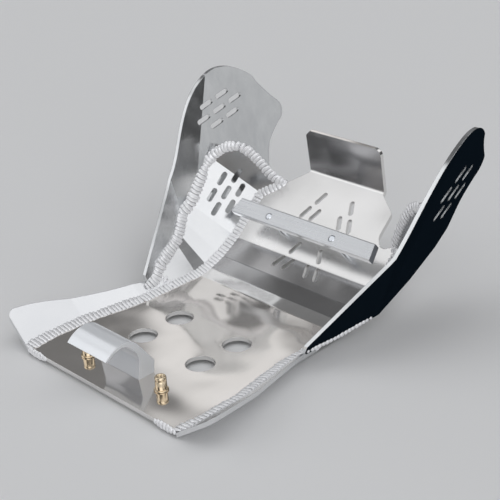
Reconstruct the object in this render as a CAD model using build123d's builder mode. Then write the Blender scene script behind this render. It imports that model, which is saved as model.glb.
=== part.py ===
import os
from math import atan2, cos, radians, sin, sqrt, tan

from build123d import *

os.makedirs("parts", exist_ok=True)

# Frame: X to the right, Y forward, Z up. The mirror plane is X = 0 and Y = 0 is the row of the
# rear drain holes. The pieces are drawn from the top face of the flat floor, and each is handed
# in one sheet higher, so that Z = 0 is the floor's underside.

# Sheet and main plate
sheet = 4.0
half_width = 97.0
rear_half_width = 107.5
rear_corner_half_width = 104.0
rear_end = -86.0
taper_start = -18.0
taper_end = 48.0
facet_lengths = (207.2, 15.9, 19.4, 26.5, 97.0)
facet_slopes = (0.0, 12.0, 22.1, 30.3, 40.8)
bend_radius = 12.0
hole_diameter = 27.6
hole_columns = 80.0
hole_rows = (0.0, 46.0)
hole_sides = 32

# Front panel, its flap and its corner notch
flap_height = 47.5
flap_slope = 98.0
flap_left = -53.0
flap_right = 46.5
flap_bend_radius = 3.0
flap_root = 0.5
flap_left_corner = 6.0
flap_right_corner = 7.0
shoulder_starts = {"left": 55.0, "right": 41.9}
shoulder_runs = {"left": (23.5, 15.7), "right": (8.5, 3.0)}
notch_floor = 209.3
notch_corner = 8.0

# Slots
slot_width = 5.4
slot_end_sides = 12
panel_slot_length = 16.7
panel_slot_lean = 24.0
strip_slot_length = 16.5
strip_slot_pitch = 21.0
strip_slot_column = 11.5
strip_slot_starts = {"left": 35.3, "right": 25.0}
strip_slot_rise = 32.3
wing_slot_lengths = {"left": 17.5, "right": 19.5}
wing_slot_pitches = {"left": 22.4, "right": 25.0}
wing_slot_columns = {"left": 11.7, "right": 15.2}
wing_slot_middles = {"left": (216.0, 144.9), "right": (232.3, 119.7)}
wing_slot_slopes = {"left": 18.5, "right": 32.5}

# Side sheets
strip_flare = 48.0
flange_flare = 35.0
joint_position = 83.0
slab_size = 700.0

# Welds
seam_half_width = 7.4
seam_height = 3.8
rim_bead_half_width = 5.6
rim_bead_height = 3.4
rim_bead_inset = 3.0
corner_bead_half_width = 4.4
corner_bead_height = 2.8
ripple_pitch = 5.0
ripple_shrink = 0.16
ripple_crest = 0.3
bead_facets = 4
bead_overlap = 1.5

# Clamp bar
bar_standoff = 30.5
bar_thickness = 8.0
bar_width = 17.7
bar_half_length = 93.4
bar_taper = 3.5
bar_shift = 1.7
bar_chamfer = 0.8
bolt_diameter = 7.4
bolt_spacing = 85.6
bolt_chamfer = 1.0
bolt_sides = 24
bolt_rise = 24.0
bar_rise = 24.7

# Rear hook and threaded inserts
hook_left = -35.0
hook_right = 19.5
insert_places = {"left": (-50.0, -57.5), "right": (46.7, -52.0)}
insert_height = 14.0
insert_diameter = 10.8
insert_flange_diameter = 13.6
insert_flange_height = 1.6
insert_chamfer = 0.9
insert_bore = 5.0
insert_sides = 24


def step(point, length, slope):
    """Point reached from (y, z) along a slope in degrees."""
    return (point[0] + length * cos(radians(slope)), point[1] + length * sin(radians(slope)))


def under(point, slope_before, slope_after):
    """Point on the lower face below a bend, where the two offset faces meet."""
    middle = radians((slope_before + slope_after) / 2)
    depth = sheet / cos(radians((slope_after - slope_before) / 2))
    return (point[0] + depth * sin(middle), point[1] - depth * cos(middle))


def meet(first, second, third):
    """Point that three planes share."""
    a, b, c = first.z_dir, second.z_dir, third.z_dir
    volume = a.dot(b.cross(c))
    total = b.cross(c) * a.dot(first.origin)
    total += c.cross(a) * b.dot(second.origin)
    total += a.cross(b) * c.dot(third.origin)
    return total / volume


def flared(start, end, slope, flare):
    """Plane of a left sheet that flares up from the edge start-end of a facet of that slope."""
    along = (end - start).normalized()
    up = Vector(0, -sin(radians(slope)), cos(radians(slope)))
    inward = along.cross(up).normalized()
    normal = inward * sin(radians(flare)) + up * cos(radians(flare))
    return Plane(origin=(start + end) / 2, x_dir=along, z_dir=normal)


def split_keeping(plane, point):
    """Keep the part of the current piece on the side of the plane where the point is."""
    above = plane.to_local_coords(Vector(*point)).Z > 0
    split(bisect_by=plane, keep=Keep.TOP if above else Keep.BOTTOM)


def folded(faces, corners):
    """Sheets below neighbouring face planes, mitred at the corner points, as one folded sheet."""
    with BuildPart() as piece:
        for index, face in enumerate(faces):
            with BuildPart(mode=Mode.PRIVATE) as slab:
                with BuildSketch(face):
                    Rectangle(slab_size, slab_size)
                extrude(amount=-sheet)
                if index > 0:
                    split_keeping(mitre(face, faces[index - 1], corners[index - 1]), face.origin)
                if index < len(faces) - 1:
                    split_keeping(mitre(face, faces[index + 1], corners[index]), face.origin)
            add(slab.part)
    return piece.part


def mitre(face, other, corner):
    """Plane halfway between two sheets that fold at the corner point."""
    return Plane(origin=corner, z_dir=face.z_dir - other.z_dir)


def staggered(pitch, column):
    """Seven places in columns of two, three and two, each column half a pitch off the next."""
    places = [(row * pitch, 0) for row in (-1, 0, 1)]
    places += [(row * pitch, side * column) for side in (-1, 1) for row in (-0.5, 0.5)]
    return places


def slots(places, length, turn=0):
    """Round-ended slots at the places of the current sketch, their ends drawn in short straights."""
    with Locations(*[Location((x, y), turn) for x, y in places]):
        Rectangle(length - slot_width, slot_width)
        with GridLocations(length - slot_width, 0, 2, 1):
            RegularPolygon(slot_width / 2, slot_end_sides)


def bead_section(half_width, height, fold):
    """Round section of a bead, centred on the line where two faces that turn by fold degrees meet."""
    radius = (half_width**2 + height**2) / (2 * height)
    middle = height - radius
    lean = radians(fold / 2)
    reach = middle * sin(lean)
    reach += sqrt(reach**2 + radius**2 - middle**2)
    spread = atan2(reach * cos(lean), reach * sin(lean) - middle)
    section = []
    for index in range(bead_facets + 1):
        turn = spread * (2 * index / bead_facets - 1)
        section.append((middle + radius * cos(turn), radius * sin(turn)))
    if fold > 0:
        section.append((0, 0))
    return section


def ripples(start, end):
    """Places along a bead and its size there: each ripple swells fast and thins slowly."""
    count = max(1, round((end - start) / ripple_pitch))
    pitch = (end - start) / count
    sizes = []
    for index in range(count):
        sizes.append((start + index * pitch, 1 - ripple_shrink))
        sizes.append((start + (index + ripple_crest) * pitch, 1))
    sizes.append((end, 1 - ripple_shrink))
    return sizes


def flat_faced(rings):
    """Solid with flat faces through a row of rings that have matching points."""
    faces = [Face(Wire.make_polygon(rings[0])), Face(Wire.make_polygon(rings[-1]))]
    for ring, following in zip(rings, rings[1:]):
        for index in range(len(ring)):
            corners = (ring[index - 1], ring[index], following[index], following[index - 1])
            faces.append(Face(Wire.make_polygon(corners)))
    return Solid(Shell(faces))


def bead(path, half_width, height, faces):
    """Weld bead of stacked ripples along a path, standing on the sheet faces beside each length."""
    lengths = []
    for index, (start, end, beside) in enumerate(zip(path, path[1:], faces)):
        along = (end - start).normalized()
        rise = beside[0].z_dir + beside[-1].z_dir
        section = bead_section(half_width, height, beside[0].z_dir.get_angle(beside[-1].z_dir))
        first = -bead_overlap if index > 0 else 0
        last = bead_overlap if index < len(path) - 2 else 0
        rings = []
        for place, size in ripples(first, (end - start).length + last):
            across = Plane(origin=start + along * place, x_dir=rise, z_dir=along)
            rings.append([across.from_local_coords(Vector(x * size, y * size)) for x, y in section])
        lengths.append(flat_faced(rings))
    with BuildPart() as piece:
        add(lengths)
    return piece.part


# Side profile of the main plate: (y, z) of each bend on the top face
profile = [(rear_end, 0.0)]
for length, slope in zip(facet_lengths, facet_slopes):
    profile.append(step(profile[-1], length, slope))
slopes_around = list(zip(facet_slopes, facet_slopes[1:] + (flap_slope,)))
lower_profile = [(rear_end, -sheet)]
for point, (before, after) in zip(profile[1:], slopes_around):
    lower_profile.append(under(point, before, after))

panel_slope = facet_slopes[-1]
panel_start = profile[-2]
flap_bend = profile[-1]
flap_top = step(flap_bend, flap_height, flap_slope)
flap_top_under = step(flap_top, sheet, flap_slope - 90)
flap_turn = flap_bend_radius * tan(radians((flap_slope - panel_slope) / 2))
panel_end = step(flap_bend, -flap_turn - flap_root, panel_slope)
panel_end_under = step(panel_end, sheet, panel_slope - 90)
panel_face = Plane(
    origin=(0, *panel_start),
    x_dir=(1, 0, 0),
    z_dir=(0, -sin(radians(panel_slope)), cos(radians(panel_slope))),
)
flap_face = Plane(
    origin=(0, *flap_bend),
    x_dir=(1, 0, 0),
    z_dir=(0, -sin(radians(flap_slope)), cos(radians(flap_slope))),
)

# Where the gusset plates stand on the panel, as points of the left side
shoulders = {}
shoulder_ends = {}
gusset_faces = {}
for side, (inset, rise) in shoulder_runs.items():
    shoulders[side] = Vector(-half_width, *step(panel_start, shoulder_starts[side], panel_slope))
    along = Vector(inset, rise, 0)
    shoulder_ends[side] = shoulders[side] + along + Vector(0, 0, rise * tan(radians(panel_slope)))
    gusset_faces[side] = Plane(
        origin=shoulders[side], x_dir=along, z_dir=along.cross(Vector(0, 0, 1))
    )

# The main plate's outline seen from above: half a rear edge, then each side and the front
rear_edge = [
    (-rear_corner_half_width, rear_end),
    (-rear_half_width, rear_end + 26),
    (-rear_half_width, taper_start),
    (-half_width, taper_end),
]
notch_edge = [
    (half_width - 15, notch_floor),
    (half_width - 22, notch_floor),
    (half_width - 29, notch_floor + 7),
    (half_width - 29.3, notch_floor + 28),
]
front_reach = flap_bend[0] + 50
outline = rear_edge + [(point.X, point.Y) for point in (shoulders["left"], shoulder_ends["left"])]
outline += [(flap_left, panel_end[0]), (flap_left, front_reach)]
outline += [(flap_right, front_reach), (flap_right, panel_end[0])]
outline += reversed(notch_edge)
outline += [(-point.X, point.Y) for point in (shoulder_ends["right"], shoulders["right"])]
outline += [(-x, y) for x, y in reversed(rear_edge)]

with BuildPart() as flap:
    with BuildSketch(Plane.YZ.offset(flap_left)):
        with BuildLine():
            inner = FilletPolyline(panel_end, flap_bend, flap_top, radius=flap_bend_radius)
            outer = FilletPolyline(
                panel_end_under, lower_profile[-1], flap_top_under, radius=flap_bend_radius + sheet
            )
            Line(inner @ 0, outer @ 0)
            Line(inner @ 1, outer @ 1)
        make_face()
    extrude(amount=flap_right - flap_left)
    corners = flap.edges().filter_by(Axis((0, 0, 0), flap_face.z_dir)).group_by(Axis.Z)[-1]
    chamfer(corners.sort_by(Axis.X)[0], flap_left_corner)
    corners = flap.edges().filter_by(Axis((0, 0, 0), flap_face.z_dir)).sort_by(Axis.X)
    fillet(corners[-1], flap_right_corner)

with BuildPart() as main_plate:
    with BuildSketch(Plane.YZ):
        with BuildLine():
            FilletPolyline(*profile[:-1], panel_end, radius=bend_radius)
            FilletPolyline(*lower_profile[:-1], panel_end_under, radius=bend_radius + sheet)
            Line(profile[0], lower_profile[0])
            Line(panel_end, panel_end_under)
        make_face()
    extrude(amount=rear_half_width + 5, both=True)
    with BuildSketch(Plane.XY) as blank:
        with BuildLine():
            Polyline(*outline, close=True)
        make_face()
        notch_bottom = blank.vertices().filter_by_position(Axis.X, half_width - 30, half_width - 20)
        fillet(notch_bottom.filter_by_position(Axis.Y, notch_floor - 1, notch_floor + 8), notch_corner)
    extrude(amount=400, both=True, mode=Mode.INTERSECT)
    add(flap.part)
    with BuildSketch(Plane.XY):
        with Locations(*[(x, y) for x in (-hole_columns / 2, hole_columns / 2) for y in hole_rows]):
            RegularPolygon(hole_diameter / 2, hole_sides)
    extrude(amount=sheet, both=True, mode=Mode.SUBTRACT)
    for side in (-1, 1):
        with BuildSketch(panel_face):
            for corner in ((16.8, 11.1), (20.6, 70.5)):
                places = []
                for across, along in ((0, 0), (9.0, -19.2), (-4.1, -19.2)):
                    places.append((side * (corner[0] + across), corner[1] + along))
                slots(places, panel_slot_length, 90 + side * panel_slot_lean)
        extrude(amount=15, both=True, mode=Mode.SUBTRACT)

# Planes of the left sheets, each through its top or inner face
floor_bends = [Vector(-half_width, *point) for point in profile]
edge_start = Vector(-half_width, joint_position, 0)
strip_corners = floor_bends[1:5]
strip_faces = [flared(edge_start, strip_corners[0], 0, strip_flare)]
for start, end, slope in zip(floor_bends[1:5], floor_bends[2:], facet_slopes[1:]):
    strip_faces.append(flared(start, end, slope, strip_flare))
floor_faces = []
for point, slope in zip(profile, facet_slopes):
    normal = (0, -sin(radians(slope)), cos(radians(slope)))
    floor_faces.append(Plane(origin=(0, *point), x_dir=(1, 0, 0), z_dir=normal))
flange_corners = [
    Vector(-rear_half_width, rear_end, 0),
    Vector(-rear_half_width, taper_start, 0),
    Vector(-half_width, taper_end, 0),
    edge_start,
]
flange_faces = []
for start, end in zip(flange_corners, flange_corners[1:]):
    flange_faces.append(flared(start, end, 0, flange_flare))
wing_low = Plane(origin=(-125, 106.1, 38.4), z_dir=(0.928, 0.173, 0.330))
wing_high = Plane(origin=(-151.8, 190.3, 129.3), z_dir=(0.929, -0.194, 0.314))
wing_fold = meet(wing_low, wing_high, Plane(origin=(0, 0, 79)))

# Rim of each gusset in its own plane, from the wing over the top to the front foot
gusset_rims = {
    "left": [
        (-58, 32), (-46.3, 43.4), (-34.7, 53.8), (-24.8, 56.4), (-15.1, 53.3),
        (-6.3, 45.8), (2.5, 36), (10.8, 25.1), (18.2, 18.6), (28.3, 14.5),
    ],
    "right": [
        (-60, 50), (-46, 62), (-37.2, 65), (-30.2, 62.2), (-23.2, 56.9),
        (-16.2, 49.3), (-10.4, 41.2), (-4.7, 31.3), (4.9, 12.9), (9, 3.4),
    ],
}


def rear_flange():
    """Left flange beside the floor, seen from above inside its outline."""
    with BuildPart() as piece:
        add(folded(flange_faces, flange_corners[1:3]))
        with BuildSketch(Plane.XY):
            with BuildLine():
                joint = [(-half_width, joint_position), (-half_width - 11, joint_position)]
                inner = Polyline(*rear_edge, *joint)
                rim = Spline(
                    inner @ 1, (-112.3, 56), (-119, 24), (-129, -13), (-138.2, -48), (-141.4, -70)
                )
                Spline(rim @ 1, (-140.4, -79), (-136.5, -82.6))
                Line((-136.5, -82.6), inner @ 0)
            make_face()
        extrude(amount=200, both=True, mode=Mode.INTERSECT)
    return piece.part


def side_panel(side, plate):
    """Left slotted strip that follows the floor's bends, with the gusset at its front."""
    fold = mitre(gusset_faces[side], strip_faces[-1], shoulders[side])
    with BuildPart() as gusset:
        with BuildSketch(gusset_faces[side]):
            with BuildLine():
                rim = Spline(*gusset_rims[side])
                Polyline(rim @ 1, (rim @ 1) - Vector(0, 6), (0, -6), (-60, -6), rim @ 0)
            make_face()
        extrude(amount=-sheet)
        split_keeping(fold, shoulders[side] + Vector(0, 0, 50))
    with BuildPart() as piece:
        add(folded(strip_faces, strip_corners))
        split_keeping(Plane.YZ.offset(-half_width), (-half_width - 10, 0, 0))
        split_keeping(Plane.XZ.offset(-joint_position), (0, joint_position + 10, 0))
        split_keeping(fold, edge_start)
        add(gusset.part)
        split_keeping(wing_low, (0, 0, 0))
        split_keeping(wing_high, (0, 0, 0))
        top_face = strip_faces[-1]
        top_facet = Plane(strip_corners[-1], x_dir=top_face.x_dir, z_dir=top_face.z_dir)
        with BuildSketch(top_facet):
            with Locations((strip_slot_starts[side], strip_slot_rise)):
                slots(staggered(strip_slot_pitch, strip_slot_column), strip_slot_length)
        extrude(amount=8, both=True, mode=Mode.SUBTRACT)
        add(plate, mode=Mode.SUBTRACT)
    return piece.part


def wing(side, flange):
    """Left wing: two flat fields folded once, seen from the side inside its outline."""
    middle_y, middle_z = wing_slot_middles[side]
    middle = meet(wing_high, Plane.XZ.offset(-middle_y), Plane.XY.offset(middle_z))
    climb = tan(radians(wing_slot_slopes[side]))
    rising = meet(wing_high, Plane.XZ.offset(-middle_y - 1), Plane.XY.offset(middle_z + climb))
    with BuildPart() as piece:
        add(folded([wing_low, wing_high], [wing_fold]))
        with BuildSketch(Plane.YZ):
            with BuildLine():
                rear = Line((62, 8), (63, 17))
                straight = Line(rear @ 1, (130.5, 79.9))
                rise = Spline(straight @ 1, (150.8, 105.4), (166.6, 133.7), (179.1, 152.9), (196, 171))
                lobe = Spline(
                    rise @ 1, (207, 178.6), (220.5, 184.5), (238.6, 184.6), (251, 180), (265, 169.5)
                )
                nose = Spline(
                    lobe @ 1, (275.8, 152.3), (284.2, 142.5), (289.7, 135.5), (289.5, 126.9), (282, 118)
                )
                front = Spline(nose @ 1, (273.4, 109.8), (264.7, 99.2), (259.2, 86.4), (254, 70))
                Polyline(front @ 1, (236.9, 55), (195.3, 37), (136.6, 23), (95.9, 13.5), rear @ 0)
            make_face()
        extrude(amount=300, both=True, mode=Mode.INTERSECT)
        add(flange, mode=Mode.SUBTRACT)
        with BuildSketch(Plane(middle, x_dir=rising - middle, z_dir=wing_high.z_dir)):
            places = staggered(wing_slot_pitches[side], wing_slot_columns[side])
            slots(places, wing_slot_lengths[side])
        extrude(amount=12, both=True, mode=Mode.SUBTRACT)
    return piece.part


def fitted(weld, neighbours):
    """A weld bead without the room that its neighbours take."""
    with BuildPart() as piece:
        add(weld)
        add(neighbours, mode=Mode.SUBTRACT)
    return piece.solids().sort_by(SortBy.VOLUME)[-1]


def hand_in(solid, name, side="left"):
    """Write one node, mirrored when it belongs to the right side."""
    solid = mirror(solid, about=Plane.YZ) if side == "right" else solid
    solid = solid.moved(Location((0, 0, sheet)))
    solid.label = name
    export_step(solid, "parts/" + name + ".step")


hand_in(main_plate.part, "main_plate")
for side in ("left", "right"):
    plate = main_plate.part if side == "left" else mirror(main_plate.part, about=Plane.YZ)
    flange = rear_flange()
    strip = side_panel(side, plate)
    blade = wing(side, flange)
    gusset_face = gusset_faces[side]
    floor_path = [Vector(*point, 0) for point in rear_edge] + [edge_start] + floor_bends[1:5]
    floor_path += [shoulders[side], shoulder_ends[side]]
    sides_of_floor = [flange_faces[0], *flange_faces, *strip_faces, gusset_face]
    floors = [floor_faces[0]] * 5 + floor_faces[1:] + [panel_face]
    floor_weld = bead(floor_path, seam_half_width, seam_height, list(zip(floors, sides_of_floor)))
    floor_seam = fitted(floor_weld, [plate, flange, strip, blade])
    wing_path = [meet(wing_low, flange_faces[2], Plane.XZ.offset(-y)) for y in (60, joint_position)]
    wing_path.append(meet(wing_low, strip_faces[0], Plane.XZ.offset(-joint_position)))
    for first, second in zip(strip_faces[:3], strip_faces[1:4]):
        wing_path.append(meet(wing_low, first, second))
    wing_path.append(meet(wing_low, wing_high, strip_faces[3]))
    wing_path.append(meet(wing_high, strip_faces[3], strip_faces[4]))
    wing_path.append(meet(wing_high, strip_faces[4], gusset_face))
    wing_sides = [(wing_low, flange_faces[2]), (wing_low,)]
    wing_sides += [(wing_low, face) for face in strip_faces[:4]]
    wing_sides += [(wing_high, face) for face in strip_faces[3:]]
    wing_weld = bead(wing_path, seam_half_width, seam_height, wing_sides)
    wing_seam = fitted(wing_weld, [flange, strip, blade, floor_seam])
    rim_path = []
    for across, up in gusset_rims[side][1:]:
        rim_path.append(gusset_face.from_local_coords(Vector(across, up - rim_bead_inset, 0)))
    rim_weld = bead(rim_path, rim_bead_half_width, rim_bead_height, [(gusset_face,)] * len(rim_path))
    rim_seam = fitted(rim_weld, [plate, strip, blade, floor_seam, wing_seam])
    joint_face = Plane(edge_start, x_dir=(-1, 0, 0), z_dir=(0, -1, 0))
    joint_path = [edge_start, meet(wing_low, flange_faces[2], joint_face)]
    joint_weld = bead(joint_path, rim_bead_half_width, rim_bead_height, [(flange_faces[2], joint_face)])
    joint_seam = fitted(joint_weld, [flange, strip, blade, floor_seam, wing_seam])
    rear_face = Plane((0, rear_end, -sheet / 2), x_dir=(1, 0, 0), z_dir=(0, -1, 0))
    corner_path = [Vector(x, rear_end, -sheet / 2) for x in (-rear_corner_half_width, -76)]
    corner_weld = bead(corner_path, corner_bead_half_width, corner_bead_height, [(rear_face,)])
    corner_seam = fitted(corner_weld, [plate, flange, floor_seam])
    wing_outside = Plane(wing_low.offset(-sheet).origin, z_dir=-wing_low.z_dir)
    outer_path = []
    for y, z in ((64, 11), (95.9, 15), (134, 24)):
        outer_path.append(meet(wing_outside, Plane.XY.offset(z), Plane.XZ.offset(-y)))
    outer_weld = bead(outer_path, corner_bead_half_width, corner_bead_height, [(wing_outside,)] * 2)
    outer_seam = fitted(outer_weld, [flange, blade])
    hand_in(flange, side + "_rear_flange", side)
    hand_in(strip, side + "_side_panel", side)
    hand_in(blade, side + "_wing", side)
    hand_in(floor_seam, side + "_floor_seam", side)
    hand_in(wing_seam, side + "_wing_seam", side)
    hand_in(rim_seam, side + "_gusset_seam", side)
    hand_in(joint_seam, side + "_joint_seam", side)
    hand_in(corner_seam, side + "_corner_seam", side)
    hand_in(outer_seam, side + "_outer_seam", side)

# Clamp bar on its two bolts, face parallel to the front panel
bar_middle = panel_face.from_local_coords(Vector(bar_shift, bar_rise, bar_standoff))
with BuildPart() as clamp_bar:
    with BuildSketch(Plane(bar_middle, x_dir=(1, 0, 0), z_dir=panel_face.z_dir)):
        with BuildLine():
            Polyline(
                (-bar_half_length, -bar_width / 2),
                (bar_half_length, -bar_width / 2),
                (bar_half_length - bar_taper, bar_width / 2),
                (bar_taper - bar_half_length, bar_width / 2),
                close=True,
            )
        make_face()
    extrude(amount=-bar_thickness)
    chamfer(clamp_bar.edges().filter_by(Axis.X), bar_chamfer)
    with BuildSketch(panel_face):
        with Locations((-bolt_spacing / 2, bolt_rise), (bolt_spacing / 2, bolt_rise)):
            RegularPolygon(bolt_diameter / 2, bolt_sides)
    extrude(amount=bar_standoff + 1, mode=Mode.SUBTRACT)
hand_in(clamp_bar.part, "clamp_bar")
for side, place in (("left", -bolt_spacing / 2), ("right", bolt_spacing / 2)):
    with BuildPart() as bolt:
        with BuildSketch(panel_face):
            with Locations((place, bolt_rise)):
                RegularPolygon(bolt_diameter / 2, bolt_sides)
        extrude(amount=bar_standoff + 0.4)
        chamfer(bolt.faces().sort_by(Axis.Z)[-1].edges(), bolt_chamfer)
    hand_in(bolt.part, side + "_bar_bolt")

# Rear hook: an upright leg with a sloped front and an arched lip that opens to the rear
with BuildPart() as rear_hook:
    with BuildSketch(Plane.YZ.offset(hook_left)):
        with BuildLine():
            Polyline((-52.5, 20), (-55, 0), (-37, 0), (-35.5, 12.5), (-53.5, 36.5))
            ThreePointArc((-53.5, 36.5), (-59.5, 40.8), (-67, 42.6))
            ThreePointArc((-67, 42.6), (-78, 40), (-88.3, 32.5))
            Line((-88.3, 32.5), (-86.6, 30.9))
            ThreePointArc((-86.6, 30.9), (-78, 36.9), (-69, 39.1))
            ThreePointArc((-69, 39.1), (-57.5, 32), (-52.5, 20))
        make_face()
    extrude(amount=hook_right - hook_left)
hand_in(rear_hook.part, "rear_hook")

# Threaded inserts that stand on the floor beside the hook
for side, place in insert_places.items():
    with BuildPart() as insert:
        with BuildSketch(Plane.XY):
            with Locations(place):
                RegularPolygon(insert_flange_diameter / 2, insert_sides)
        extrude(amount=insert_flange_height)
        with BuildSketch(Plane.XY):
            with Locations(place):
                RegularPolygon(insert_diameter / 2, insert_sides)
        extrude(amount=insert_height)
        chamfer(insert.faces().sort_by(Axis.Z)[-1].edges(), insert_chamfer)
        with Locations((*place, 0)):
            Hole(insert_bore / 2, depth=insert_height)
    hand_in(insert.part, side + "_insert")
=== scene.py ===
import math
import random

import bpy
from mathutils import Matrix, Vector


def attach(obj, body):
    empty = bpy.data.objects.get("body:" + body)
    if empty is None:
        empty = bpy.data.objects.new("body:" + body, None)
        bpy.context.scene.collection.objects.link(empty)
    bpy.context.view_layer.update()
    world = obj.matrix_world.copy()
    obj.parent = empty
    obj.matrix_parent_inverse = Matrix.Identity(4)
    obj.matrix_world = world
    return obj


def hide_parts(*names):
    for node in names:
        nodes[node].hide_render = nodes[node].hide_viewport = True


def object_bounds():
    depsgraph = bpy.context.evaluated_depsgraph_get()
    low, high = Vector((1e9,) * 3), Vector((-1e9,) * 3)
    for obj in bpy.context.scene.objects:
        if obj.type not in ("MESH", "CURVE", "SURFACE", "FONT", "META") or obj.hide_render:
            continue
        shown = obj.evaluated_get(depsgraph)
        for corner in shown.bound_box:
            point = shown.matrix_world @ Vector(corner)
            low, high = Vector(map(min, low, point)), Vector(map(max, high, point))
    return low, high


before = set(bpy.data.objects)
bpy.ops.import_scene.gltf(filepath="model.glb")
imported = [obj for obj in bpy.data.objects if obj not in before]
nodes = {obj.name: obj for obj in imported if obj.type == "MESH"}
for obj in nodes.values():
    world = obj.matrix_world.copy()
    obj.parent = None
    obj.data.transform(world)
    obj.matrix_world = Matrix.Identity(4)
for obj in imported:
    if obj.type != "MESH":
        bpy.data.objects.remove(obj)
cad_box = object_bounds()
bpy.ops.object.select_all(action="DESELECT")
MM = 0.001
SIDES = ("left", "right")


# Camera at the photograph's angle
PHOTO_PIXELS = 500.0
FOCAL_PIXELS = 1181.0
SENSOR = 36.0
CAMERA_PLACE = Vector((0.7443, -0.5976, 0.5459))
CAMERA_RIGHT = Vector((0.7022, 0.7104, -0.0465))
CAMERA_UP = Vector((-0.2720, 0.3281, 0.9047))
CAMERA_BACK = Vector((0.6579, -0.6226, 0.4236))

bpy.ops.object.camera_add()
camera = bpy.context.object
camera.name = "camera"
camera.data.sensor_width = SENSOR
camera.data.lens = FOCAL_PIXELS * SENSOR / PHOTO_PIXELS
camera_turn = Matrix((CAMERA_RIGHT, CAMERA_UP, CAMERA_BACK)).transposed().to_4x4()
camera.matrix_world = Matrix.Translation(CAMERA_PLACE) @ camera_turn
bpy.context.scene.camera = camera


# Steps of a node tree: each adds one node and returns what it puts out
def feed(tree, value, socket):
    """Link a socket to what another node puts out, or set it to a plain value."""
    if isinstance(value, bpy.types.NodeSocket):
        tree.links.new(value, socket)
    else:
        socket.default_value = value


def noise(tree, place, scale, detail, roughness=0.5, distortion=0):
    node = tree.nodes.new("ShaderNodeTexNoise")
    node.inputs["Detail"].default_value = detail
    node.inputs["Roughness"].default_value = roughness
    node.inputs["Distortion"].default_value = distortion
    feed(tree, place, node.inputs["Vector"])
    feed(tree, scale, node.inputs["Scale"])
    return node.outputs["Fac"]


def remap(tree, value, old=(0, 1), new=(0, 1), interpolation="LINEAR"):
    node = tree.nodes.new("ShaderNodeMapRange")
    node.interpolation_type = interpolation
    for label, limit in zip(("From Min", "From Max", "To Min", "To Max"), (*old, *new)):
        node.inputs[label].default_value = limit
    feed(tree, value, node.inputs["Value"])
    return node.outputs["Result"]


def mix(tree, kind, factor, first, second, blend="MIX"):
    node = tree.nodes.new("ShaderNodeMix")
    node.data_type = kind
    node.blend_type = blend
    for label, value in (("Factor", factor), ("A", first), ("B", second)):
        feed(tree, value, node.inputs[label])
    return node.outputs["Result"]


def number_step(tree, operation, *numbers):
    node = tree.nodes.new("ShaderNodeMath")
    node.operation = operation
    for socket, number in zip(node.inputs, numbers):
        feed(tree, number, socket)
    return node.outputs["Value"]


def vector_step(tree, operation, first, second, output):
    node = tree.nodes.new("ShaderNodeVectorMath")
    node.operation = operation
    feed(tree, first, node.inputs[0])
    feed(tree, second, node.inputs[1])
    return node.outputs[output]


def bumped(tree, height, distance, beneath, strength=1):
    """Normal raised by a height, over the normal beneath or else the mesh's own."""
    node = tree.nodes.new("ShaderNodeBump")
    node.inputs["Strength"].default_value = strength
    node.inputs["Distance"].default_value = distance
    feed(tree, height, node.inputs["Height"])
    if beneath is not None:
        feed(tree, beneath, node.inputs["Normal"])
    return node.outputs["Normal"]


# Effects that several finishes share
NUMBER = "NodeSocketFloat"
VECTOR = "NodeSocketVector"
LINE_DETAIL = 4
LINE_ROUGHNESS = 0.65
CLOUD_DETAIL = 6
CLOUD_DISTORTION = 0.6
CLOUD_SPREAD = (0.3, 0.7)


def new_group(name, inputs, output):
    """An effect with named inputs that puts out one number."""
    group = bpy.data.node_groups.new(name, "ShaderNodeTree")
    for label, kind in inputs.items():
        group.interface.new_socket(label, in_out="INPUT", socket_type=kind)
    group.interface.new_socket(output, in_out="OUTPUT", socket_type=NUMBER)
    given = group.nodes.new("NodeGroupInput").outputs
    result = group.nodes.new("NodeGroupOutput").inputs[output]
    return group, given, result


def make_brushing():
    """Fine lines of a brushed sheet: noise drawn out along one direction."""
    inputs = {"Place": VECTOR, "Stretch": VECTOR, "Scale": NUMBER}
    group, given, lines = new_group("brushing", inputs, "Lines")
    drawn = vector_step(group, "MULTIPLY", given["Place"], given["Stretch"], "Vector")
    feed(group, noise(group, drawn, given["Scale"], LINE_DETAIL, roughness=LINE_ROUGHNESS), lines)
    return group


def make_handling():
    """Cloudy marks of handling: broad soft patches broken by finer ones."""
    group, given, marks = new_group("handling", {"Place": VECTOR, "Scale": NUMBER}, "Marks")
    cloud = noise(group, given["Place"], given["Scale"], CLOUD_DETAIL, distortion=CLOUD_DISTORTION)
    feed(group, remap(group, cloud, old=CLOUD_SPREAD), marks)
    return group


def make_facing():
    """Mask of the faces whose normal lies near one direction."""
    inputs = {"Normal": VECTOR, "Direction": VECTOR, "Limit": NUMBER}
    group, given, mask = new_group("facing", inputs, "Mask")
    nearness = vector_step(group, "DOT_PRODUCT", given["Normal"], given["Direction"], "Value")
    feed(group, number_step(group, "GREATER_THAN", nearness, given["Limit"]), mask)
    return group


BRUSHING = make_brushing()
HANDLING = make_handling()
FACING = make_facing()


def effect(tree, group, **values):
    """Place a shared effect in a material with its own values."""
    node = tree.nodes.new("ShaderNodeGroup")
    node.node_tree = group
    for label, value in values.items():
        feed(tree, value, node.inputs[label])
    return node.outputs[0]


# Finishes. A stretch below 1 draws the brushed lines out along that axis.
LINES_ALONG_Y = (1, 0.04, 1)
EVEN_GRAIN = (1, 1, 1)
EDGE_ROUNDING = 0.0006
LINE_DEPTH = 0.0005
WAVE_SCALE = 12
WAVE_DETAIL = 1
WAVE_DEPTH = 0.0025


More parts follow.
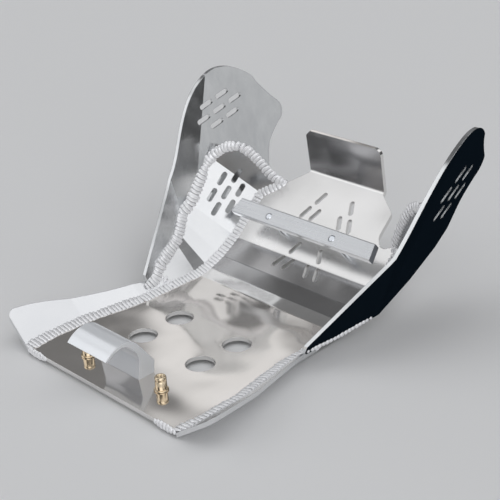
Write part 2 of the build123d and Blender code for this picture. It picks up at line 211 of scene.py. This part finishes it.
def metal(name, dark, light, rough, stretch=LINES_ALONG_Y, scale=500, bump=0.05, cloud=14, share=0.5,
          metallic=1, fields=(), edges=True, dark_reflection=None, roll=None, wave=WAVE_DEPTH):
    """Bare metal: brushed lines and handling marks drive colour and roughness, and the lines its bump.

    Scale is that of the lines and cloud that of the marks, and share is the marks' part of the two.
    Each of the fields is (direction, limit, tint, added roughness) for the faces that look there, its
    tint being painted shade or painted reflection, depending on the field. The painted dark reflection
    is (direction, limit, colour) for faces painted near black without shine, and roll is (across,
    start, end, slope) for a border where the sheet leans away from its flat. Edges rounds the edges,
    and wave is the depth of soft dents.
    """
    made = bpy.data.materials.new(name)
    made.use_nodes = True
    tree = made.node_tree
    shader = tree.nodes["Principled BSDF"].inputs
    shader["Metallic"].default_value = metallic
    place = tree.nodes.new("ShaderNodeTexCoord").outputs

    lines = effect(tree, BRUSHING, Place=place["Object"], Stretch=stretch, Scale=scale)
    marks = effect(tree, HANDLING, Place=place["Object"], Scale=cloud)
    both = mix(tree, "FLOAT", share, lines, marks)
    colour = mix(tree, "RGBA", both, (*dark, 1), (*light, 1))
    roughness = remap(tree, both, new=rough)
    # Each field multiplies its tint into the faces that look its way, as painted shade and painted
    # reflection.
    for direction, limit, tint, added in fields:
        mask = effect(tree, FACING, Normal=place["Normal"], Direction=direction, Limit=limit)
        colour = mix(tree, "RGBA", mask, colour, (*tint, 1), "MULTIPLY")
        roughness = number_step(tree, "MULTIPLY_ADD", mask, added, roughness)
    # Painted dark reflection: faces that look the given way take a near-black colour, lose their metal
    # and have no shine.
    if dark_reflection:
        direction, limit, reflection_colour = dark_reflection
        mask = effect(tree, FACING, Normal=place["Normal"], Direction=direction, Limit=limit)
        colour = mix(tree, "RGBA", mask, colour, (*reflection_colour, 1))
        feed(tree, number_step(tree, "SUBTRACT", 1, mask), shader["Metallic"])
        shader["Specular IOR Level"].default_value = 0
    feed(tree, colour, shader["Base Color"])
    feed(tree, roughness, shader["Roughness"])

    normal = None
    if edges:
        rounded = tree.nodes.new("ShaderNodeBevel")
        rounded.inputs["Radius"].default_value = EDGE_ROUNDING
        normal = rounded.outputs["Normal"]
    if roll:
        across, start, end, slope = roll
        reach = vector_step(tree, "DOT_PRODUCT", place["Object"], across, "Value")
        border = remap(tree, reach, old=(start, end))
        normal = bumped(tree, border, slope * (end - start), normal)
    normal = bumped(tree, noise(tree, place["Object"], WAVE_SCALE, WAVE_DETAIL), wave, normal)
    normal = bumped(tree, lines, LINE_DEPTH, normal, strength=bump)
    feed(tree, normal, shader["Normal"])
    return made


# Painted shade in the grooves of a weld: the range of the surface's pointiness that the grooves take up,
# and how dark the painted shade makes them
GROOVE_REACH = (0.455, 0.495)
GROOVE_SHADE = 0.15


def paint_groove_shade(finish):
    """Paint shade into the grooves between the ripples of a weld, making them darker."""
    tree = finish.node_tree
    base = tree.nodes["Principled BSDF"].inputs["Base Color"]
    shape = tree.nodes.new("ShaderNodeNewGeometry")
    painted_shade = remap(tree, shape.outputs["Pointiness"], old=GROOVE_REACH, new=(GROOVE_SHADE, 1))
    feed(tree, mix(tree, "RGBA", 1, base.links[0].from_socket, painted_shade, "MULTIPLY"), base)


def dress(finish, *names):
    for name in names:
        nodes[name].data.materials.clear()
        nodes[name].data.materials.append(finish)


# Directions in which faces look
RIGHT = (1, 0, 0)
LEFT = (-1, 0, 0)
REAR = (0, -1, 0)
UP = (0, 0, 1)
PANEL_LOOKS = (0, -0.653, 0.757)
SECOND_FACET_LOOKS = (0, -0.378, 0.926)
THIRD_FACET_LOOKS = (0, -0.505, 0.863)
FLAP_LOOKS = (0, -0.990, -0.139)
LEFT_GUSSET_LOOKS = (0.56, -0.83, 0)
RIGHT_GUSSET_LOOKS = (-0.33, -0.94, 0)
LEFT_WING_LOOKS = (-0.93, 0, -0.33)
RIGHT_WING_LOOKS = (0.93, 0, -0.33)

# How near to its direction a face has to look, as the cosine of the angle between them
FACET_LIMIT = 0.995
FLAT_LIMIT = 0.99
GUSSET_LIMIT = 0.97
END_LIMIT = 0.9
DARK_REFLECTION_LIMIT = 0.8

NO_TINT = (1, 1, 1)
# Painted warm reflection on the plate's upward-facing floor
FLOOR_PAINTED_REFLECTION = (0.9, 0.87, 0.84)
# Painted shade on the plate's second and third facets
FACET_PAINTED_SHADE = (0.66, 0.66, 0.67)
# Painted dark reflection on the flap's rear faces
FLAP_PAINTED_REFLECTION = (0.42, 0.42, 0.43)
# Painted dark reflection on the strips' gusset faces
GUSSET_PAINTED_REFLECTION = (0.58, 0.58, 0.58)
# Painted shade on the bar's end faces
BAR_END_PAINTED_SHADE = (0.35, 0.36, 0.38)
# Painted shade on the hook's rear-facing faces
HOOK_PAINTED_SHADE = (0.62, 0.63, 0.65)
# Painted dark reflection on the outer faces of the wings
PAINTED_DARK_REFLECTION = (0.005, 0.009, 0.014)

# Rear border of a wing: the direction across it, where it starts and ends, and its slope
WING_BORDER = ((0, 1, -0.43), -0.1, 0.131, -0.184)

plate_finish = metal(
    "polished_plate", dark=(0.74, 0.73, 0.715), light=(0.89, 0.88, 0.87), rough=(0.05, 0.13),
    share=0.7, bump=0.02,
    fields=[
        (PANEL_LOOKS, FACET_LIMIT, NO_TINT, 0.16),
        (UP, FLAT_LIMIT, FLOOR_PAINTED_REFLECTION, 0.0),
        (SECOND_FACET_LOOKS, FACET_LIMIT, FACET_PAINTED_SHADE, 0.06),
        (THIRD_FACET_LOOKS, FACET_LIMIT, FACET_PAINTED_SHADE, 0.06),
        (FLAP_LOOKS, FLAT_LIMIT, FLAP_PAINTED_REFLECTION, 0.06),
    ],
)
flange_finish = metal(
    "grained_flange", dark=(0.68, 0.69, 0.71), light=(0.93, 0.93, 0.93), rough=(0.16, 0.3),
    stretch=EVEN_GRAIN, scale=900, share=0.25, bump=0.15,
)
strip_finish = metal(
    "bright_strip", dark=(0.76, 0.77, 0.78), light=(0.9, 0.9, 0.9), rough=(0.12, 0.24),
    fields=[
        (LEFT_GUSSET_LOOKS, GUSSET_LIMIT, GUSSET_PAINTED_REFLECTION, 0.04),
        (RIGHT_GUSSET_LOOKS, GUSSET_LIMIT, GUSSET_PAINTED_REFLECTION, 0.04),
    ],
)
weld_finish = metal(
    "weld_metal", dark=(0.93, 0.93, 0.95), light=(0.99, 0.99, 1.0), rough=(0.24, 0.34),
    stretch=EVEN_GRAIN, cloud=60, bump=0.02, metallic=0.35, edges=False, wave=0,
)
paint_groove_shade(weld_finish)
bar_finish = metal(
    "brushed_bar", dark=(0.5, 0.51, 0.53), light=(0.76, 0.77, 0.78), rough=(0.2, 0.36),
    stretch=(0.03, 1, 1), share=0.2,
    fields=[(RIGHT, END_LIMIT, BAR_END_PAINTED_SHADE, 0.1), (LEFT, END_LIMIT, BAR_END_PAINTED_SHADE, 0.1)],
)
hook_finish = metal(
    "machined_hook", dark=(0.86, 0.88, 0.91), light=(0.94, 0.96, 0.98), rough=(0.16, 0.22),
    stretch=(0.04, 1, 1), bump=0.01, metallic=0.4,
    fields=[(REAR, END_LIMIT, HOOK_PAINTED_SHADE, 0.05), (RIGHT, END_LIMIT, NO_TINT, 0.2)],
)
bolt_finish = metal("bright_steel", dark=(0.6, 0.63, 0.68), light=(0.88, 0.9, 0.93), rough=(0.12, 0.26))
insert_finish = metal(
    "plain_brass", dark=(0.72, 0.58, 0.4), light=(0.86, 0.72, 0.52), rough=(0.14, 0.2),
    bump=0, share=0.9, edges=False, wave=0,
)
dress(plate_finish, "main_plate")
dress(bar_finish, "clamp_bar")
dress(hook_finish, "rear_hook")
for side, outside in zip(SIDES, (LEFT_WING_LOOKS, RIGHT_WING_LOOKS)):
    wing_finish = metal(
        side + "_wing_metal", dark=(0.54, 0.55, 0.56), light=(0.88, 0.89, 0.89), rough=(0.1, 0.22),
        stretch=(1, 1, 0.08), scale=110, share=0.4, bump=0.02,
        dark_reflection=(outside, DARK_REFLECTION_LIMIT, PAINTED_DARK_REFLECTION), roll=WING_BORDER,
    )
    dress(wing_finish, side + "_wing")
    dress(flange_finish, side + "_rear_flange")
    dress(strip_finish, side + "_side_panel")
    dress(bolt_finish, side + "_bar_bolt")


# Threaded inserts, drawn up ring by ring: foot flange, body, mouth and thread. Each ring is its
# radius and its height above the floor in millimetres.
INSERT_PLACES = {"left": (-50.0, -57.5), "right": (46.7, -52.0)}
FLOOR_TOP = 4.0
INSERT_SIDES = 36
INSERT_SMOOTHING = math.radians(40)
INSERT_RINGS = [
    (6.2, 0.0), (6.7, 0.3), (6.8, 0.8), (6.7, 1.3), (6.2, 1.6), (5.4, 1.7), (5.3, 2.1), (5.3, 9.4),
    (5.1, 9.7), (5.1, 10.3), (5.3, 10.6), (5.3, 12.6), (5.1, 13.3), (4.6, 13.8), (4.2, 14.0),
    (3.3, 14.0), (3.0, 13.7),
]
THREAD_TURNS = 13
THREAD_CREST = (2.5, 13.3)
THREAD_ROOT = (2.95, 12.8)
for turn in range(THREAD_TURNS):
    INSERT_RINGS += [(radius, top - turn) for radius, top in (THREAD_CREST, THREAD_ROOT)]
INSERT_RINGS += [(3.1, 0.0)]


def threaded_insert(side):
    x, y = (value * MM for value in INSERT_PLACES[side])
    radius, rise = INSERT_RINGS[0]
    bpy.ops.object.select_all(action="DESELECT")
    bpy.ops.mesh.primitive_circle_add(
        vertices=INSERT_SIDES, radius=radius * MM, location=(x, y, (FLOOR_TOP + rise) * MM)
    )
    piece = bpy.context.object
    piece.name = side + "_threaded_insert"
    bpy.ops.object.transform_apply()
    bpy.ops.object.mode_set(mode="EDIT")
    for wider, higher in INSERT_RINGS[1:]:
        bpy.ops.mesh.extrude_region_move(
            TRANSFORM_OT_translate={"value": (0, 0, (higher - rise) * MM)}
        )
        bpy.ops.transform.resize(
            value=(wider / radius, wider / radius, 1), center_override=(x, y, (FLOOR_TOP + higher) * MM)
        )
        radius, rise = wider, higher
    bpy.ops.mesh.select_all(action="DESELECT")
    bpy.ops.mesh.select_non_manifold()
    bpy.ops.mesh.bridge_edge_loops()
    bpy.ops.mesh.select_all(action="SELECT")
    bpy.ops.mesh.normals_make_consistent(inside=False)
    bpy.ops.object.mode_set(mode="OBJECT")
    bpy.ops.object.shade_smooth_by_angle(angle=INSERT_SMOOTHING)
    piece.data.materials.append(insert_finish)
    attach(piece, "root")
    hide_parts(side + "_insert")


for side in SIDES:
    threaded_insert(side)

# Weld beads: leaning ripples set one on the next along each route, then fused. The routes are in
# millimetres on the left side, and those of the right side are mirrored. Each point has the direction
# in which the next length rises.
FLOOR_ROUTE = [
    ((-104.0, -86.0, 4.0), (0.30, 0.00, 0.95)),
    ((-107.5, -60.0, 4.0), (0.30, 0.00, 0.95)),
    ((-107.5, -18.0, 4.0), (0.30, -0.05, 0.95)),
    ((-97.0, 48.0, 4.0), (0.30, 0.00, 0.95)),
    ((-97.0, 83.0, 4.0), (0.41, 0.00, 0.91)),
    ((-97.0, 121.2, 4.0), (0.41, -0.19, 0.89)),
    ((-97.0, 136.8, 7.3), (0.41, -0.34, 0.85)),
    ((-97.0, 154.7, 14.6), (0.41, -0.46, 0.79)),
    ((-97.0, 177.6, 28.0), (0.41, -0.60, 0.69)),
]
FLOOR_ENDS = {
    "left": [((-97.0, 219.2, 63.9), (0.32, -0.85, 0.43)), ((-73.5, 234.9, 77.5), None)],
    "right": [((-97.0, 209.3, 55.4), (0.19, -0.89, 0.42)), ((-88.5, 212.3, 57.9), None)],
}
WING_ROUTE = [
    ((-104.7, 60.0, 9.4), (0.79, 0.09, 0.61)),
    ((-109.4, 77.0, 13.0), (0.88, 0.00, 0.47)),
    ((-114.6, 89.0, 23.4), (0.85, 0.09, 0.51)),
    ((-124.4, 118.0, 34.4), (0.86, 0.02, 0.51)),
    ((-128.1, 126.6, 40.5), (0.87, -0.04, 0.49)),
    ((-133.9, 136.6, 51.5), (0.88, -0.09, 0.48)),
    ((-136.4, 140.0, 56.7), (0.85, -0.27, 0.45)),
    ((-136.2, 152.2, 63.5), (0.85, -0.32, 0.42)),
]
WING_ENDS = {"left": (-140.9, 181.5, 96.0), "right": (-141.6, 185.5, 100.5)}
RIM_STARTS = {
    "left": [(WING_ENDS["left"], (0.82, -0.45, 0.36)), ((-140.0, 189.0, 104.0), (0.72, -0.65, 0.25))],
    "right": [(WING_ENDS["right"], (0.8, -0.5, 0.33)), ((-142.0, 191.4, 107.6), (0.6, -0.78, 0.2))],
}
RIM_RISES = {"left": (0.56, -0.83, 0.0), "right": (0.33, -0.94, 0.0)}
RIM_ROUTES = {
    "left": [
        (-135.0, 193.8, 110.0), (-126.8, 199.3, 115.6), (-117.6, 205.5, 117.6),
        (-109.6, 210.9, 114.2), (-102.2, 215.7, 106.7), (-94.9, 220.6, 96.9),
        (-88.0, 225.2, 86.0), (-81.9, 229.4, 79.5), (-73.5, 235.0, 75.4),
    ],
    "right": [
        (-138.8, 194.4, 113.8), (-132.1, 196.9, 117.0), (-125.5, 199.3, 114.6),
        (-118.9, 201.6, 109.3), (-112.3, 203.9, 101.7), (-106.8, 205.9, 93.6),
        (-101.4, 207.8, 83.7), (-92.4, 211.0, 65.3), (-88.5, 212.3, 55.8),
    ],
}
JOINT_ROUTE = [((-97.0, 83.0, 4.0), (0.41, -0.71, 0.58)), ((-110.4, 83.0, 13.4), None)]
CORNER_ROUTE = [((-104.0, -86.0, 2.0), (0.0, -1.0, 0.0)), ((-76.0, -86.0, 2.0), None)]
OUTER_ROUTE = [
    ((-111.7, 64.0, 15.0), (-0.93, -0.17, -0.33)),
    ((-119.1, 95.9, 19.0), (-0.93, -0.17, -0.33)),
    ((-129.4, 134.0, 28.0), None),
]

# Half width, height and depth of a ripple in millimetres
SEAM_RIPPLE = (8.4, 3.6, 6.0)
RIM_RIPPLE = (6.4, 3.0, 4.6)
CORNER_RIPPLE = (4.4, 2.6, 3.4)
OUTER_RIPPLE = (3.0, 1.7, 2.4)

# Ripples and the smooth core beneath them, in millimetres; the core's width is a share of the ripple's
RIPPLE_PITCH = 4.2
RIPPLE_THICKNESS = 2.4
RIPPLE_LEAN = math.radians(-48)
RIPPLE_FOOT = -0.6
CORE_LENGTH = 4.6
CORE_WIDTH = 0.95
CORE_DROP = 1.4
BALL_SEGMENTS = 20
BALL_RINGS = 12

# How unevenly a hand sets the ripples, and how the first and last of a bead shrink
PLACE_JITTER = 0.07
SWING_JITTER = 0.07
SIZE_RANGE = (0.88, 1.03)
END_TAPERS = (0.72, 0.88)
FUSE_SIZE = 0.5
SETTLE_FACTOR = 0.5
CHANCE_SEED = 5
chance = random.Random(CHANCE_SEED)


def ripple(half_width, height, depth, thickness, lean):
    """One ripple or length of core: a flattened, leaning ball with its foot cut flat, rising along Z."""
    top = math.hypot(depth * math.cos(lean), thickness * math.sin(lean))
    bpy.ops.object.select_all(action="DESELECT")
    bpy.ops.mesh.primitive_uv_sphere_add(segments=BALL_SEGMENTS, ring_count=BALL_RINGS, radius=MM)
    coin = bpy.context.object
    coin.scale = (thickness, half_width, depth)
    coin.rotation_euler = (0, lean, 0)
    coin.location = (0, 0, (height - top) * MM)
    bpy.ops.object.transform_apply()
    bpy.ops.object.mode_set(mode="EDIT")
    bpy.ops.mesh.select_all(action="SELECT")
    bpy.ops.mesh.bisect(
        plane_co=(0, 0, RIPPLE_FOOT * MM), plane_no=(0, 0, 1), use_fill=True, clear_inner=True
    )
    bpy.ops.object.mode_set(mode="OBJECT")
    return coin


def ripple_places(route, side):
    """Place, turn and size of each ripple along a route, mirrored for the right side."""
    flip = Vector((1, 1, 1) if side == "left" else (-1, 1, 1))
    places = []
    sizes = []
    for (start, rise), (end, _) in zip(route, route[1:]):
        start = Vector(start) * flip
        end = Vector(end) * flip
        along = (end - start).normalized()
        across = (Vector(rise) * flip).cross(along).normalized()
        upright = along.cross(across)
        count = max(1, round((end - start).length / RIPPLE_PITCH))
        for index in range(count):
            share = (index + 0.5 + chance.uniform(-PLACE_JITTER, PLACE_JITTER)) / count
            place = Matrix((along, across, upright)).transposed().to_4x4()
            place.translation = start.lerp(end, share) * MM
            swing = Matrix.Rotation(chance.uniform(-SWING_JITTER, SWING_JITTER), 4, "Z")
            places.append(place @ swing)
            sizes.append(chance.uniform(*SIZE_RANGE))
    for index, taper in enumerate(END_TAPERS):
        sizes[index] *= taper
        sizes[-1 - index] *= taper
    return [place @ Matrix.Scale(size, 4) for place, size in zip(places, sizes)]


def weld_bead(name, node, route, size, side):
    """Ripples and their core copied along a route and fused into one bead."""
    half_width, height, depth = size
    coin = ripple(half_width, height, depth, RIPPLE_THICKNESS, RIPPLE_LEAN)
    core = ripple(half_width * CORE_WIDTH, height - CORE_DROP, depth, CORE_LENGTH, 0)
    copies = []
    for place in ripple_places(route, side):
        for shape in (coin, core):
            copy = shape.copy()
            copy.data = shape.data.copy()
            copy.matrix_world = place
            bpy.context.collection.objects.link(copy)
            copies.append(copy)
    bpy.ops.object.select_all(action="DESELECT")
    coin.select_set(True)
    core.select_set(True)
    bpy.ops.object.delete()
    for copy in copies:
        copy.select_set(True)
    bpy.context.view_layer.objects.active = copies[0]
    bpy.ops.object.join()
    bead = bpy.context.object
    bead.name = name
    bpy.ops.object.transform_apply()
    fuse = bead.modifiers.new("fuse", "REMESH")
    fuse.mode = "VOXEL"
    fuse.voxel_size = FUSE_SIZE * MM
    bpy.ops.object.modifier_apply(modifier="fuse")
    settle = bead.modifiers.new("settle", "SMOOTH")
    settle.factor = SETTLE_FACTOR
    settle.iterations = 1
    bpy.ops.object.modifier_apply(modifier="settle")
    bpy.ops.object.shade_smooth()
    bead.data.materials.clear()
    bead.data.materials.append(weld_finish)
    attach(bead, "root")
    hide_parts(node)


for side in SIDES:
    rim_route = RIM_STARTS[side] + [(point, RIM_RISES[side]) for point in RIM_ROUTES[side]]
    beads = {
        "floor": (FLOOR_ROUTE + FLOOR_ENDS[side], SEAM_RIPPLE),
        "wing": (WING_ROUTE + [(WING_ENDS[side], None)], SEAM_RIPPLE),
        "gusset": (rim_route, RIM_RIPPLE),
        "joint": (JOINT_ROUTE, RIM_RIPPLE),
        "corner": (CORNER_ROUTE, CORNER_RIPPLE),
        "outer": (OUTER_ROUTE, OUTER_RIPPLE),
    }
    for seam, (route, size) in beads.items():
        weld_bead(f"{side}_{seam}_bead", f"{side}_{seam}_seam", route, size, side)

# Plain pale floor, just under the lowest corner
GROUND_SIZE = 8
GROUND_GAP = 0.0005
GROUND_COLOUR = (0.8, 0.8, 0.8, 1)
GROUND_ROUGHNESS = 0.9
low, high = cad_box
bpy.ops.mesh.primitive_plane_add(size=GROUND_SIZE, location=(0, 0, low.z - GROUND_GAP))
ground = bpy.context.object
ground.name = "pale_floor"
ground_finish = bpy.data.materials.new("pale_floor")
ground_finish.use_nodes = True
ground_shader = ground_finish.node_tree.nodes["Principled BSDF"]
ground_shader.inputs["Base Color"].default_value = GROUND_COLOUR
ground_shader.inputs["Roughness"].default_value = GROUND_ROUGHNESS
ground.data.materials.append(ground_finish)

# Soft studio light: round softboxes in a dim tent that is brighter above. Each softbox has its
# direction, the angles in degrees from its middle where its fade starts and ends, and its strength.
TENT_RISE = (0, 0.7)
TENT_LEVELS = (0.03, 0.16)
TENT_COLOUR = (0.97, 0.98, 1, 1)
SOFTBOXES = (
    ((-0.55, -0.65, 0.55), 22, 34, 1.1),
    ((0.74, -0.06, 0.67), 15, 23, 1.0),
    ((0.28, 0.68, 0.67), 13, 23, 1.0),
    ((0.93, 0.32, 0.20), 7, 18, 0.62),
    ((0.10, 0.05, 1.00), 26, 36, 1.05),
    ((-0.72, 0.55, 0.42), 12, 40, 0.23),
    ((-0.65, 0.58, 0.49), 1, 6.5, 1.0),
    ((0.75, -0.62, 0.22), 22, 34, 1.7),
    ((-0.77, -0.02, 0.63), 8, 14, 0.95),
)
world = bpy.data.worlds.new("studio_tent")
world.use_nodes = True
tent = world.node_tree
aim = tent.nodes.new("ShaderNodeTexCoord").outputs["Generated"]
parts = tent.nodes.new("ShaderNodeSeparateXYZ")
feed(tent, aim, parts.inputs["Vector"])
level = remap(tent, parts.outputs["Z"], old=TENT_RISE, new=TENT_LEVELS)
for direction, inner, outer, strength in SOFTBOXES:
    towards = vector_step(tent, "DOT_PRODUCT", aim, Vector(direction).normalized(), "Value")
    fade = (math.cos(math.radians(outer)), math.cos(math.radians(inner)))
    disc = remap(tent, towards, old=fade, new=(0, strength), interpolation="SMOOTHSTEP")
    level = number_step(tent, "MAXIMUM", level, disc)
sky = tent.nodes["Background"]
sky.inputs["Color"].default_value = TENT_COLOUR
feed(tent, level, sky.inputs["Strength"])
bpy.context.scene.world = world

bpy.context.scene.view_settings.view_transform = "Standard"
